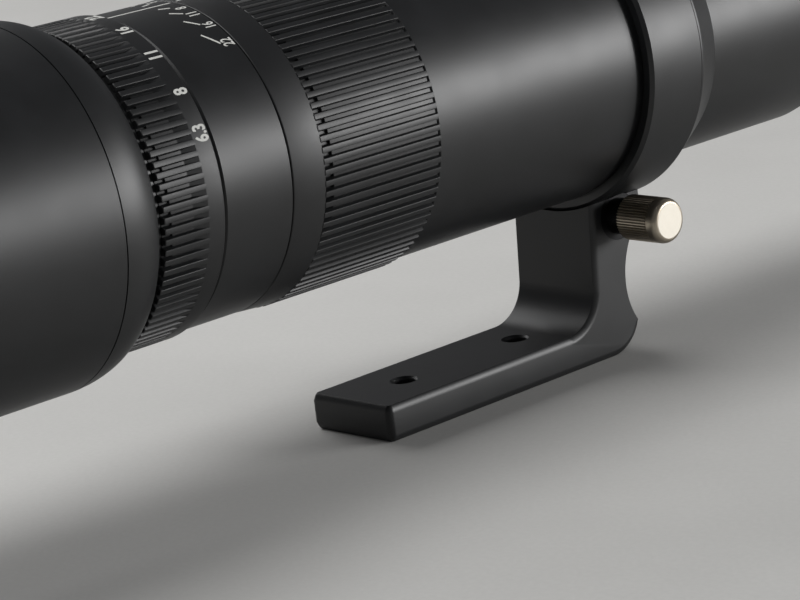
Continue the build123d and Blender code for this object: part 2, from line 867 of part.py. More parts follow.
with BuildPart() as clamp_stud:
    rod(stud_radius, stud_end, knob_base + stud_grip)
save(clamp_stud, "clamp_stud")

with BuildPart() as clamp_washer:
    rod(boss_radius + 0.2, washer_face, knob_base)
    rod(stud_radius + 0.2, washer_face - 1, knob_base + 1, mode=Mode.SUBTRACT)
save(clamp_washer, "clamp_washer")
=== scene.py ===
import json
from math import cos, pi, radians, sin, tau

import bmesh
import bpy
from mathutils import Matrix, Vector


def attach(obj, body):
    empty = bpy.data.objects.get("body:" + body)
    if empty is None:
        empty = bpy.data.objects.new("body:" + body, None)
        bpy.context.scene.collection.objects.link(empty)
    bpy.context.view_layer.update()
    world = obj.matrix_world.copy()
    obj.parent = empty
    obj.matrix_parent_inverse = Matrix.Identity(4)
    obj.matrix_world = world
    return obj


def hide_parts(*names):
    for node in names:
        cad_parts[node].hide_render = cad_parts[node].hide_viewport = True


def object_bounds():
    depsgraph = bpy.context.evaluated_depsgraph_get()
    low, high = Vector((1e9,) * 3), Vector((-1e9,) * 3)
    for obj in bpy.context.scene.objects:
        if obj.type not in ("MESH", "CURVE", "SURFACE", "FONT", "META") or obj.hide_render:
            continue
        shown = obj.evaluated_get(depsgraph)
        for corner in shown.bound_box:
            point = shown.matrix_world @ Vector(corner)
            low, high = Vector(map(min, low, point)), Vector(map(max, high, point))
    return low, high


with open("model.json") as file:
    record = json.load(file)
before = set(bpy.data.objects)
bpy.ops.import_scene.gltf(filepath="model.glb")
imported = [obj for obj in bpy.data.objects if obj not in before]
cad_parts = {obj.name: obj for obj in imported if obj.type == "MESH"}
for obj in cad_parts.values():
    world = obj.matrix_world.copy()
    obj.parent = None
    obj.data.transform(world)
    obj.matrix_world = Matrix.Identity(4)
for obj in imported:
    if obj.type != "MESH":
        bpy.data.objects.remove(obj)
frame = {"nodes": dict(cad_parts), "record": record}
cadBox = [list(corner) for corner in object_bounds()]
mm = 0.001  # sizes below are in millimetres: Y along the optical axis from the mounting flange, Z up


# Finishes

def toLinear(hexColour):
    parts = [int(hexColour[i : i + 2], 16) / 255 for i in (1, 3, 5)]
    return [p / 12.92 if p <= 0.04045 else ((p + 0.055) / 1.055) ** 2.4 for p in parts] + [1.0]


def addNode(tree, kind, settings={}, links={}):  # one node, its settings and what feeds it
    node = tree.nodes.new(kind)
    for key, value in settings.items():
        if isinstance(key, str) and key in node.bl_rna.properties:
            setattr(node, key, value)
        else:
            node.inputs[key].default_value = value
    for key, source in links.items():
        tree.links.new(source, node.inputs[key])
    return node


def perMetre(size):  # pattern scale of a noise whose grain is size mm across
    return 1 / (size * mm)


def noise(tree, size, detail, place, **more):  # a grain of this size in mm over the places given
    settings = {"Scale": perMetre(size), "Detail": detail, **more}
    return addNode(tree, "ShaderNodeTexNoise", settings, {0: place}).outputs[0]


def startFinish(name, sockets):
    finish = bpy.data.materials.new(name)
    finish.use_nodes = True
    tree = finish.node_tree
    shader = tree.nodes["Principled BSDF"]
    for key, value in sockets.items():
        shader.inputs[key].default_value = value
    place = addNode(tree, "ShaderNodeTexCoord").outputs["Object"]
    return finish, tree, shader, place


def coloured(tree, shader, look, amount, relief):
    # an amount from 0 to 1 mixes the two colours and spreads the roughness, and the relief stands up
    tone = addNode(tree, "ShaderNodeMix", {"data_type": "RGBA"}, {0: amount})
    tone.inputs[6].default_value, tone.inputs[7].default_value = (toLinear(c) for c in look["colours"])
    low, high = look["roughness"]
    sheen = addNode(tree, "ShaderNodeMapRange", {3: low, 4: high}, {0: amount})
    bump = addNode(tree, "ShaderNodeBump", {"Distance": look["relief"] * mm}, {"Height": relief})
    tree.links.new(tone.outputs[2], shader.inputs["Base Color"])
    tree.links.new(sheen.outputs[0], shader.inputs["Roughness"])
    tree.links.new(bump.outputs[0], shader.inputs["Normal"])


def summed(tree, one, other):  # two noises as one amount, spread from 0 to 1
    both = addNode(tree, "ShaderNodeMath", {"operation": "ADD"}, {0: one, 1: other})
    low, high = 0.7, 1.3  # nearly all of the sum lies between these
    return addNode(tree, "ShaderNodeMapRange", {1: low, 2: high}, {0: both.outputs[0]}).outputs[0]


def grained(name, look, sockets={}):  # slow clouds in tone and gloss under a fine grit
    finish, tree, shader, place = startFinish(name, sockets)
    stretch = {"Scale": look.get("stretch", (1, 1, 1))}
    drawn = addNode(tree, "ShaderNodeMapping", stretch, {0: place}).outputs[0]
    cloud = noise(tree, look["cloud"], 3.0, drawn)
    grit = noise(tree, look["grit"], 2.0, drawn)
    coloured(tree, shader, look, summed(tree, cloud, grit), grit)
    return finish


def turnedFinish(name, look, sockets={}):  # tool marks that run in rings about the piece's own axis
    finish, tree, shader, place = startFinish(name, sockets)
    centre = [c * mm for c in look["centre"]]
    frameOfPiece = {"vector_type": "TEXTURE", "Location": centre, "Rotation": look["turn"]}
    own = addNode(tree, "ShaderNodeMapping", frameOfPiece, {0: place}).outputs[0]
    flat = addNode(tree, "ShaderNodeVectorMath", {"operation": "MULTIPLY", 1: (1, 1, 0)}, {0: own})
    radius = addNode(tree, "ShaderNodeVectorMath", {"operation": "LENGTH"}, {0: flat.outputs[0]})
    along = addNode(tree, "ShaderNodeSeparateXYZ", {}, {0: own})
    section = addNode(tree, "ShaderNodeCombineXYZ", {}, {0: radius.outputs["Value"], 1: along.outputs[2]})
    marks = noise(tree, look["pitch"], 3.0, section.outputs[0], noise_dimensions="2D")
    cloud = noise(tree, look["cloud"], 2.0, place)
    coloured(tree, shader, look, summed(tree, marks, cloud), marks)
    return finish


def coatedGlass():
    # optical glass with several coatings: clear, with a faint violet reflection and a trace of dust. Its
    # index is set low, so that each face sends back under one percent, as a coated one does
    coating = {
        "IOR": 1.2, "Transmission Weight": 1.0, "Roughness": 0.0,
        "Specular Tint": toLinear("#b9a2ff"),
    }
    look = {"colours": ("#f6f7fa", "#e9ebf2"), "dust": 4}
    finish, tree, shader, place = startFinish("multicoated optical glass", coating)
    dust = noise(tree, look["dust"], 4.0, place)
    tone = addNode(tree, "ShaderNodeMix", {"data_type": "RGBA"}, {0: dust})
    tone.inputs[6].default_value, tone.inputs[7].default_value = (toLinear(c) for c in look["colours"])
    tree.links.new(tone.outputs[2], shader.inputs["Base Color"])
    return finish


# aluminium blasted with fine glass beads and dyed black in its oxide: deep black, one broad soft
# highlight and a faint sparkle. The real grit is about 0.1 mm, drawn at twice that so that it shows
beadBlasted = {
    "colours": ("#0e0f10", "#17181a"), "roughness": (0.39, 0.44),
    "cloud": 14, "grit": 0.22, "relief": 0.004,
}
satinBlack = grained("bead blasted black anodise", beadBlasted, {"IOR": 1.5})
# the same alloy milled before it is dyed: a little blacker than the blasted pieces, its gloss less even
milledBlack = grained(
    "milled black anodise",
    {**beadBlasted, "colours": ("#0b0c0d", "#131416"), "roughness": (0.40, 0.50)},
    {"IOR": 1.5},
)
# flat black paint inside the barrel that swallows stray light
mattBlack = grained(
    "matt black barrel paint",
    {
        "colours": ("#070708", "#0e0e0f"), "roughness": (0.7, 0.85),
        "cloud": 9, "grit": 0.3, "relief": 0.01,
    },
    {"IOR": 1.5},
)
# rolled spring steel, chemically blacked: dark grey with a low shine in streaks along the sheet
blackedSpring = grained(
    "blackened spring steel",
    {
        "colours": ("#1b1c1f", "#2c2d31"), "roughness": (0.3, 0.44),
        "cloud": 5, "grit": 0.3, "relief": 0.002, "stretch": (0.12, 1, 1),
    },
    {"Metallic": 0.85},
)
# steel parts boiled in black oxide: black, slightly oily; on the clamp's shoes and washer this black is
# also painted shade, standing for the knob's shadow on the neck behind it
blackOxideAndShade = grained(
    "black oxide steel and painted shade",
    {
        "colours": ("#0b0b0c", "#151517"), "roughness": (0.34, 0.48),
        "cloud": 4, "grit": 0.25, "relief": 0.004,
    },
    {"Metallic": 0.6},
)
# machined stainless steel: cool grey, satin
stainless = grained(
    "machined stainless steel",
    {
        "colours": ("#8f9194", "#a9abae"), "roughness": (0.26, 0.38),
        "cloud": 3, "grit": 0.25, "relief": 0.003,
    },
    {"Metallic": 1.0},
)
# moulded acetal strips between the collar and the barrel: black, faintly waxy
acetal = grained(
    "moulded black acetal",
    {
        "colours": ("#0c0c0d", "#151516"), "roughness": (0.42, 0.55),
        "cloud": 6, "grit": 0.5, "relief": 0.004,
    },
    {"IOR": 1.48},
)
# white enamel wiped into the engraving: flat white, thin in places
enamel = grained(
    "white engraving enamel",
    {
        "colours": ("#bdbdb8", "#d8d8d4"), "roughness": (0.45, 0.6),
        "cloud": 1.4, "grit": 0.2, "relief": 0.006,
    },
    {"IOR": 1.5},
)
alongLens = {"centre": (0, 0, 0), "turn": (-pi / 2, 0, 0)}  # rings about the optical axis
alongKnob = {"centre": (0, -99.4, -46.9), "turn": (0, pi / 2, 0)}  # rings about the clamp knob's axis
# nickel plate over turned brass: warm pale metal with fine rings; real marks are 0.05 mm apart, drawn wider
nickel = turnedFinish(
    "nickel plated knob",
    {
        "colours": ("#a69c8c", "#b8ae9e"), "roughness": (0.3, 0.4),
        "pitch": 0.16, "cloud": 4, "relief": 0.001, **alongKnob,
    },
    {"Metallic": 1.0},
)
# satin chrome over brass, as on most bayonets: cool and bright, with fine rings
chrome = turnedFinish(
    "satin chrome bayonet",
    {
        "colours": ("#b4b6ba", "#d0d2d5"), "roughness": (0.2, 0.3),
        "pitch": 0.3, "cloud": 8, "relief": 0.002, **alongLens,
    },
    {"Metallic": 1.0},
)
# turned brass of the helicoid: yellow metal with tool rings
brass = turnedFinish(
    "turned brass",
    {
        "colours": ("#a9803a", "#cda55b"), "roughness": (0.24, 0.36),
        "pitch": 0.3, "cloud": 6, "relief": 0.003, **alongLens,
    },
    {"Metallic": 1.0},
)
# the knob's end gets a paler copy of the knob's nickel, a painted highlight for the lamp that fills the
# face; satin rather than bright
litNickelFace = turnedFinish(
    "nickel face painted paler as lit",
    {
        "colours": ("#cdc8bd", "#d9d4ca"), "roughness": (0.56, 0.64),
        "pitch": 0.2, "cloud": 3, "relief": 0.001, **alongKnob,
    },
    {"Metallic": 1.0},
)
finishes = {
    "satin_black": satinBlack, "ring_black": milledBlack, "inner_black": mattBlack,
    "blade_steel": blackedSpring, "lens_glass": coatedGlass(), "knob_nickel": nickel,
    "mount_chrome": chrome, "steel": stainless, "turned_brass": brass, "lining_plastic": acetal,
}
# the shoes and the washer are blacked: partly their own black oxide, partly painted shade, so the neck
# behind the knob reads as dark as the knob's shadow there
blacked = ("clamp_shoe_far", "clamp_shoe_near", "clamp_washer")
slotOf = {part["node"]: part["material_slot"] for part in frame["record"]["subparts"]}
for name, node in frame["nodes"].items():
    node.material_slots[0].material = blackOxideAndShade if name in blacked else finishes[slotOf[name]]
print(len(frame["nodes"]), "nodes finished")


# Pieces and turned meshes

def newPiece(name, mesh, body, finish=None, replaced=()):
    mesh.name = name
    if finish:
        mesh.materials.clear()
        mesh.materials.append(finish)
    piece = bpy.data.objects.new(name, mesh)
    bpy.context.collection.objects.link(piece)
    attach(piece, body)
    if replaced:
        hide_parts(*replaced)


def smoothed(shape, sharpAngle):  # shades smooth, with the edges past an angle in degrees kept sharp
    for face in shape.faces:
        face.smooth = True
    for edge in shape.edges:
        if len(edge.link_faces) == 2 and edge.calc_face_angle(0) > radians(sharpAngle):
            edge.smooth = False


def asMesh(shape, name, sharpAngle=32, weld=0.0001):
    bmesh.ops.remove_doubles(shape, verts=shape.verts, dist=weld * mm)
    bmesh.ops.recalc_face_normals(shape, faces=shape.faces)
    smoothed(shape, sharpAngle)
    mesh = bpy.data.meshes.new(name)
    shape.to_mesh(mesh)
    shape.free()
    return mesh


def softened(outline, rounding, steps=3, share=0.4):
    # an outline with its corners broken, as a turned part's are; one takes at most this share of a side
    points = []
    count = len(outline)
    for i in range(count):
        here, before, after = (Vector(outline[j % count]) for j in (i, i - 1, i + 1))
        a, b = (before - here), (after - here)
        reach = min(rounding, share * a.length, share * b.length)
        p, q = here + a.normalized() * reach, here + b.normalized() * reach
        for s in range(steps + 1):
            t = s / steps
            points.append((1 - t) ** 2 * p + 2 * t * (1 - t) * here + t * t * q)
    return points


def turnedMesh(name, outline, segments=192):  # closed outline of (radius, y) turned about the optical axis
    shape = bmesh.new()
    rings = []
    for i in range(segments):
        a = tau * i / segments
        rings.append([shape.verts.new((r * cos(a) * mm, y * mm, r * sin(a) * mm)) for r, y in outline])
    count = len(outline)
    for i in range(segments):
        one, two = rings[i], rings[(i + 1) % segments]
        for j in range(count):
            k = (j + 1) % count
            shape.faces.new((one[j], one[k], two[k], two[j]))
    return asMesh(shape, name)


# Plain pieces keep the frame's shape: each is a copy with its seams merged, so highlights run on

mendedNodes = {  # piece: (node, body, angle past which an edge stays sharp)
    "hoodSleeve": ("hood", "hood", 20),
    "frontBarrel": ("front_barrel", "barrel", 20),
    "scaleBarrel": ("scale_barrel", "barrel", 20),
    "mainBarrel": ("main_barrel", "barrel", 20),
    "rearBarrel": ("rear_barrel", "barrel", 20),
    "collarRing": ("collar_ring", "collar", 20),
    "collarFoot": ("foot", "collar", 44),
}
# mm between points that become one, degrees between faces that do, and how far large faces lead the shading
mending = {"weld": 0.002, "flat": 0.2, "weight": 100}


def mended(name, sharpAngle):
    shape = bmesh.new()
    shape.from_mesh(frame["nodes"][name].data)
    bmesh.ops.remove_doubles(shape, verts=shape.verts, dist=mending["weld"] * mm)
    bmesh.ops.dissolve_limit(
        shape, angle_limit=radians(mending["flat"]), verts=shape.verts, edges=shape.edges
    )
    smoothed(shape, sharpAngle)
    mesh = bpy.data.meshes.new(name)
    shape.to_mesh(mesh)
    shape.free()
    carrier = bpy.data.objects.new(name, mesh)
    bpy.context.collection.objects.link(carrier)
    even = carrier.modifiers.new("even", "WEIGHTED_NORMAL")  # narrow broken edges shade as rounded ones
    even.weight, even.keep_sharp = mending["weight"], True
    graph = bpy.context.evaluated_depsgraph_get()
    result = bpy.data.meshes.new_from_object(carrier.evaluated_get(graph), depsgraph=graph)
    carrier.modifiers.clear()
    bpy.data.objects.remove(carrier)
    return result


for name, (node, body, sharpAngle) in mendedNodes.items():
    newPiece(name, mended(node, sharpAngle), body, satinBlack, [node])
print("plain pieces mended")


# Geometry node trees: ribs round a ring, a thread in a hole, screws on a circle

def startTree(name, sockets):
    tree = bpy.data.node_groups.new(name, "GeometryNodeTree")
    tree.is_modifier = True
    for title, kind in sockets.items():
        tree.interface.new_socket(title, in_out="INPUT", socket_type="NodeSocket" + kind)
    tree.interface.new_socket("Geometry", in_out="OUTPUT", socket_type="NodeSocketGeometry")
    return tree, addNode(tree, "NodeGroupInput").outputs


def maths(tree, operation, a, b):
    node = addNode(tree, "ShaderNodeMath", {"operation": operation})
    for i, value in enumerate((a, b)):
        if isinstance(value, (int, float)):
            node.inputs[i].default_value = value
        else:
            tree.links.new(value, node.inputs[i])
    return node.outputs[0]


def endTree(tree, copies, finish, others=(), sharpAngle=34):  # real geometry, shaded and given its finish
    real = addNode(tree, "GeometryNodeRealizeInstances", {}, {0: copies})
    smooth = addNode(tree, "GeometryNodeSetShadeSmooth", {"Shade Smooth": True}, {0: real.outputs[0]})
    bend = addNode(tree, "GeometryNodeInputMeshEdgeAngle").outputs[0]
    crisp = addNode(
        tree, "GeometryNodeSetShadeSmooth", {"domain": "EDGE", "Shade Smooth": False},
        {0: smooth.outputs[0], 1: maths(tree, "GREATER_THAN", bend, radians(sharpAngle))},
    )
    whole = addNode(tree, "GeometryNodeJoinGeometry", {}, {0: crisp.outputs[0]})
    for other in others:
        tree.links.new(other, whole.inputs[0])
    worn = addNode(tree, "GeometryNodeSetMaterial", {}, {"Geometry": whole.outputs[0], "Material": finish})
    addNode(tree, "NodeGroupOutput", {}, {0: worn.outputs[0]})
    return tree


def ribTree():
    tree, given = startTree("ribs round a ring", {
        "Ring": "Geometry", "Rib Count": "Int", "Crest": "Float", "Root": "Float",
        "Rib Height": "Float", "Base Radius": "Float", "Front": "Float", "Front Bevel": "Float",
        "Front Taper": "Float", "Back": "Float", "Back Bevel": "Float", "Back Taper": "Float",
        "Corner": "Float", "Finish": "Material",
    })

    def byStation(*values):  # one value for each of the four stations along a rib
        index = addNode(tree, "GeometryNodeInputIndex").outputs[0]
        pick = addNode(tree, "GeometryNodeIndexSwitch", {"data_type": "FLOAT"})
        while len(pick.index_switch_items) < len(values):
            pick.index_switch_items.new()
        tree.links.new(index, pick.inputs[0])
        for i, value in enumerate(values):
            if isinstance(value, float):
                pick.inputs[i + 1].default_value = value
            else:
                tree.links.new(value, pick.inputs[i + 1])
        return pick.outputs[0]

    line = {"count_mode": "TOTAL", "Count": 4, "Offset": (0, mm, 0)}  # its points are moved further on
    stations = addNode(tree, "GeometryNodeMeshLine", line)
    bar = addNode(tree, "GeometryNodeMeshToCurve", {}, {"Mesh": stations.outputs[0]})
    along = byStation(
        given["Front"],
        maths(tree, "ADD", given["Front"], given["Front Bevel"]),
        maths(tree, "SUBTRACT", given["Back"], given["Back Bevel"]),
        given["Back"],
    )
    spot = addNode(tree, "ShaderNodeCombineXYZ", {}, {1: along, 2: given["Base Radius"]})
    placed = addNode(
        tree, "GeometryNodeSetPosition", {}, {"Geometry": bar.outputs[0], "Position": spot.outputs[0]}
    )
    upright = addNode(tree, "GeometryNodeSetCurveNormal", {"mode": "Z_UP"}, {"Curve": placed.outputs[0]})
    section = addNode(
        tree, "GeometryNodeCurvePrimitiveQuadrilateral", {"mode": "TRAPEZOID", "Offset": 0.0},
        {"Bottom Width": given["Crest"], "Top Width": given["Root"], "Height": given["Rib Height"]},
    )
    rounded = addNode(
        tree, "GeometryNodeFilletCurve", {"mode": "POLY", "Count": 3},
        {"Curve": section.outputs[0], "Radius": given["Corner"]},
    )
    halfDown = maths(tree, "MULTIPLY", given["Rib Height"], -0.5)
    lift = addNode(tree, "ShaderNodeCombineXYZ", {}, {1: halfDown})
    standing = addNode(
        tree, "GeometryNodeTransform", {}, {"Geometry": rounded.outputs[0], "Translation": lift.outputs[0]}
    )
    size = byStation(given["Front Taper"], 1.0, 1.0, given["Back Taper"])
    rib = addNode(
        tree, "GeometryNodeCurveToMesh", {"Fill Caps": True},
        {"Curve": upright.outputs[0], "Profile Curve": standing.outputs[0], "Scale": size},
    )
    centres = addNode(tree, "GeometryNodePoints", {}, {"Count": given["Rib Count"]})
    number = addNode(tree, "GeometryNodeInputIndex").outputs[0]
    turn = maths(tree, "DIVIDE", maths(tree, "MULTIPLY", number, tau), given["Rib Count"])
    spin = addNode(tree, "ShaderNodeCombineXYZ", {}, {1: turn})
    copies = addNode(
        tree, "GeometryNodeInstanceOnPoints", {},
        {"Points": centres.outputs[0], "Instance": rib.outputs[0], "Rotation": spin.outputs[0]},
    )
    return endTree(tree, copies.outputs[0], given["Finish"], [given["Ring"]], sharpAngle=15)


def threadTree():  # a square bar wound round each hole, with one corner in the wall and one standing out
    tree, given = startTree("thread in a hole", {
        "Holes": "Geometry", "Bore Radius": "Float", "Pitch": "Float", "Length": "Float", "Steps": "Int",
        "Tooth": "Float", "Finish": "Material",
    })
    turns = maths(tree, "DIVIDE", given["Length"], given["Pitch"])
    spiral = addNode(
        tree, "GeometryNodeCurveSpiral", {},
        {
            "Resolution": given["Steps"], "Rotations": turns, "Start Radius": given["Bore Radius"],
            "End Radius": given["Bore Radius"], "Height": given["Length"],
        },
    )
    upright = addNode(tree, "GeometryNodeSetCurveNormal", {"mode": "Z_UP"}, {"Curve": spiral.outputs[0]})
    square = {"mode": "RADIUS", "Resolution": 4}
    tooth = addNode(tree, "GeometryNodeCurvePrimitiveCircle", square, {"Radius": given["Tooth"]})
    wound = addNode(
        tree, "GeometryNodeCurveToMesh", {"Fill Caps": True},
        {"Curve": upright.outputs[0], "Profile Curve": tooth.outputs[0]},
    )
    copies = addNode(
        tree, "GeometryNodeInstanceOnPoints", {}, {"Points": given["Holes"], "Instance": wound.outputs[0]}
    )
    return endTree(tree, copies.outputs[0], given["Finish"], sharpAngle=70)


def screwTree():
    tree, given = startTree("screws on a circle", {
        "Screw": "Geometry", "Screw Count": "Int", "Circle": "Float", "First Angle": "Float",
        "Recess Turn": "Float", "Finish": "Material",
    })
    centres = addNode(tree, "GeometryNodePoints", {}, {"Count": given["Screw Count"]})
    number = addNode(tree, "GeometryNodeInputIndex").outputs[0]
    step = maths(tree, "DIVIDE", maths(tree, "MULTIPLY", number, tau), given["Screw Count"])
    angle = maths(tree, "ADD", step, given["First Angle"])
    across = maths(tree, "MULTIPLY", maths(tree, "COSINE", angle, 0.0), given["Circle"])
    above = maths(tree, "MULTIPLY", maths(tree, "SINE", angle, 0.0), given["Circle"])
    spot = addNode(tree, "ShaderNodeCombineXYZ", {}, {0: across, 2: above})
    placed = addNode(
        tree, "GeometryNodeSetPosition", {}, {"Geometry": centres.outputs[0], "Position": spot.outputs[0]}
    )
    driven = maths(tree, "MULTIPLY", number, given["Recess Turn"])
    spin = addNode(tree, "ShaderNodeCombineXYZ", {}, {1: driven})
    copies = addNode(
        tree, "GeometryNodeInstanceOnPoints", {},
        {"Points": placed.outputs[0], "Instance": given["Screw"], "Rotation": spin.outputs[0]},
    )
    return endTree(tree, copies.outputs[0], given["Finish"])


def grown(name, baseMesh, tree, settings):  # the tree's result on a base mesh, as a plain mesh
    carrier = bpy.data.objects.new(name, baseMesh)
    bpy.context.collection.objects.link(carrier)
    modifier = carrier.modifiers.new(name, "NODES")
    modifier.node_group = tree
    for item in tree.interface.items_tree:
        if item.item_type == "SOCKET" and item.in_out == "INPUT" and item.name in settings:
            modifier[item.identifier] = settings[item.name]
    graph = bpy.context.evaluated_depsgraph_get()
    mesh = bpy.data.meshes.new_from_object(carrier.evaluated_get(graph), depsgraph=graph)
    carrier.modifiers.clear()
    bpy.data.objects.remove(carrier)
    return mesh


def inMetres(sizes):  # a tree's settings, with all that are lengths turned into metres
    plain = (
        "Rib Count", "Front Taper", "Back Taper", "Steps", "Screw Count", "First Angle", "Recess Turn",
        "Finish",
    )
    return {key: value if key in plain else value * mm for key, value in sizes.items()}


ribs = ribTree()

# outlines are (radius, y); a narrow channel runs round each ring just behind the ribs' front ends, dark
# between one rib and the next
sleeve = ((41.1, -238.8), (41.75, -228.9))  # both ends of the focus ring's numbered cone
focusRing = {
    "outline": (
        (39.9, -239.0), (40.9, -239.0), *sleeve, (40.0, -228.9), (40.0, -225.4), (40.75, -225.2),
        (40.75, -188.4), (39.9, -188.4),
    ),
    "ribs": {
        "Rib Count": 92, "Crest": 1.43, "Root": 2.1, "Rib Height": 1.75, "Base Radius": 40.15,
        "Front": -229.0, "Front Bevel": 0.15, "Front Taper": 0.95,
        "Back": -188.4, "Back Bevel": 0.3, "Back Taper": 0.86, "Corner": 0.16,
    },
}
apertureRing = {
    "outline": (
        (40.25, -280.9), (40.4, -280.9), (40.4, -278.3), (40.95, -278.1), (40.95, -271.2), (42.0, -267.3),
        (42.0, -262.4), (41.75, -262.1), (40.6, -261.4), (40.25, -261.4),
    ),
    "ribs": {
        "Rib Count": 96, "Crest": 1.45, "Root": 2.2, "Rib Height": 1.65, "Base Radius": 40.35,
        "Front": -281.0, "Front Bevel": 0.2, "Front Taper": 0.93,
        "Back": -266.9, "Back Bevel": 0.1, "Back Taper": 0.95, "Corner": 0.2,
    },
}
brokenCorner = 0.12
for name, ring, node in (
    ("focusRing", focusRing, "focus_ring"),
    ("apertureRing", apertureRing, "aperture_ring"),
):
    base = turnedMesh(name, softened(ring["outline"], brokenCorner))
    mesh = grown(name, base, ribs, inMetres({**ring["ribs"], "Finish": milledBlack}))
    newPiece(name, mesh, node, None, [node])
print("ribbed rings turned")


# Clamp knob, made round the optical axis and then laid on its own, which runs along X

knob = {
    "segments": 96,
    "outline": ((0, 21.0), (5.8, 21.0), (5.95, 21.2), (5.95, 31.6), (6.5, 32.2), (6.5, 33.3)),
    "shoulder": (5.0, 33.3, 1.5, 2.26),  # centre of the rounded shoulder and its reach out and along
    "face": ((0, 35.3), (4.96, 35.3), (5.02, 35.5), (4.92, 35.6), (0, 35.6)),
    "ribs": {
        "Rib Count": 48, "Crest": 0.36, "Root": 0.7, "Rib Height": 0.6, "Base Radius": 5.9,
        "Front": 21.05, "Front Bevel": 0.25, "Front Taper": 0.8,
        "Back": 32.0, "Back Bevel": 0.1, "Back Taper": 0.95, "Corner": 0.06,
    },
}


def onKnobAxis(mesh):
    mesh.transform(Matrix.Translation(Vector(alongKnob["centre"]) * mm) @ Matrix.Rotation(-pi / 2, 4, "Z"))
    return mesh


r, y, out, up = knob["shoulder"]
rounded = [(r + out * cos(radians(a)), y + up * sin(radians(a))) for a in range(10, 91, 10)]
base = turnedMesh("clampKnob", (*knob["outline"], *rounded, (0, y + up)), knob["segments"])
mesh = grown("clampKnob", base, ribs, inMetres({**knob["ribs"], "Finish": nickel}))
newPiece("clampKnob", onKnobAxis(mesh), "clamp_knob", None, ["clamp_knob"])
# the knob's end, in the paler nickel that paints the lamp's highlight on it
mesh = turnedMesh("knobFace", knob["face"], knob["segments"])
newPiece("knobFace", onKnobAxis(mesh), "clamp_knob", litNickelFace)
print("knob made")


# Numerals and marks, drawn flat in mm, half a unit thick to each side, and then bent round the barrel

halfThick = 0.5


def flatNumber(text, height, narrow, heavy):
    curve = bpy.data.curves.new("number", "FONT")
    curve.body, curve.align_x, curve.align_y = text, "CENTER", "CENTER"
    curve.resolution_u, curve.offset, curve.extrude = 3, heavy, halfThick
    carrier = bpy.data.objects.new("number", curve)
    bpy.context.collection.objects.link(carrier)
    graph = bpy.context.evaluated_depsgraph_get()
    mesh = bpy.data.meshes.new_from_object(carrier.evaluated_get(graph), depsgraph=graph)
    bpy.data.objects.remove(carrier)
    ups = [v.co.y for v in mesh.vertices]
    sides = [v.co.x for v in mesh.vertices]
    size = height / (max(ups) - min(ups))
    mesh.transform(Matrix.Translation((-(max(sides) + min(sides)) / 2, -(max(ups) + min(ups)) / 2, 0)))
    mesh.transform(Matrix.Diagonal((size * narrow, size, 1, 1)))
    return mesh


def flatBar(start, end, width):  # a line between two points, each (round the barrel, towards the front)
    a, b = Vector(start), Vector(end)
    side = (b - a).normalized().orthogonal() * width / 2
    corners = [a + side, a - side, b - side, b + side]
    points = [(c.x, c.y, h) for h in (-halfThick, halfThick) for c in corners]
    faces = [(3, 2, 1, 0), (4, 5, 6, 7)] + [(i, (i + 1) % 4, (i + 1) % 4 + 4, i + 4) for i in range(4)]
    mesh = bpy.data.meshes.new("bar")
    mesh.from_pydata(points, [], faces)
    return mesh


def bent(flats, radius, slope=0, foot=0, thick=0.06, chord=0.5, weld=0.00001):
    # each flat mesh with the angle and the place along the axis of its middle, laid on a cylinder, or on
    # a cone that has this radius at the foot and widens backwards by the slope
    whole = bmesh.new()
    for flat, angle, along in flats:
        shape = bmesh.new()
        shape.from_mesh(flat)
        bmesh.ops.remove_doubles(shape, verts=shape.verts, dist=weld)
        reach = max(abs(v.co.x) for v in shape.verts)
        cut = -reach + chord
        while cut < reach:
            parts = shape.verts[:] + shape.edges[:] + shape.faces[:]
            bmesh.ops.bisect_plane(shape, geom=parts, plane_co=(cut, 0, 0), plane_no=(1, 0, 0))
            cut += chord
        for v in shape.verts:
            a, y = radians(angle) + v.co.x / radius, along - v.co.y
            r = radius + slope * (y - foot) + v.co.z * thick
            v.co = (r * cos(a) * mm, y * mm, r * sin(a) * mm)
        placed = bpy.data.meshes.new("placed")
        shape.to_mesh(placed)
        shape.free()
        whole.from_mesh(placed)
        bpy.data.meshes.remove(placed)
    return whole


def middleAndHalf(span):  # the middle of a (start, end) pair and half its length
    return sum(span) / 2, (span[1] - span[0]) / 2


apertureScale = {
    "numbers": {"6.3": 21, "8": 36.5, "11": 53, "16": 69, "22": 85},  # degrees round from the clamp side
    "radius": 42.02, "along": -264.6, "height": 4.1, "narrow": 0.72, "heavy": 0.03,
}
s = apertureScale
flats = []
for text, angle in s["numbers"].items():
    flats.append((flatNumber(text, s["height"], s["narrow"], s["heavy"]), angle, s["along"]))
mesh = asMesh(bent(flats, s["radius"]), "apertureNumbers")
newPiece("apertureNumbers", mesh, "aperture_ring", enamel)

depthScale = {  # on the fixed band between the two rings: an index line and slanted depth lines each side
    "radius": 41.12, "index": 85, "line": (-260.4, -240.2), "width": 0.55,
    "numbers": {"8": 8, "11": 14.5, "16": 23, "22": 33.5},  # degrees to either side of the index
    "along": -241.5, "height": 3.4, "narrow": 0.6, "heavy": 0.015,
    "slant": (-246.6, -243.6), "fan": 6.0,
}
s = depthScale
middle, half = middleAndHalf(s["line"])
flats = [(flatBar((0, -half), (0, half), s["width"]), s["index"], middle)]
middle, half = middleAndHalf(s["slant"])
for text, spread in s["numbers"].items():
    for side in (-1, 1):
        number = flatNumber(text, s["height"], s["narrow"], s["heavy"])
        flats.append((number, s["index"] + side * spread, s["along"]))
        lean = radians(s["fan"] / 2) * s["radius"] * side * spread / max(s["numbers"].values())
        bar = flatBar((-lean, half), (lean, -half), s["width"])
        flats.append((bar, s["index"] + side * (spread - 0.5 * s["fan"]), middle))
mesh = asMesh(bent(flats, s["radius"]), "depthMarks")
newPiece("depthMarks", mesh, "barrel", enamel)

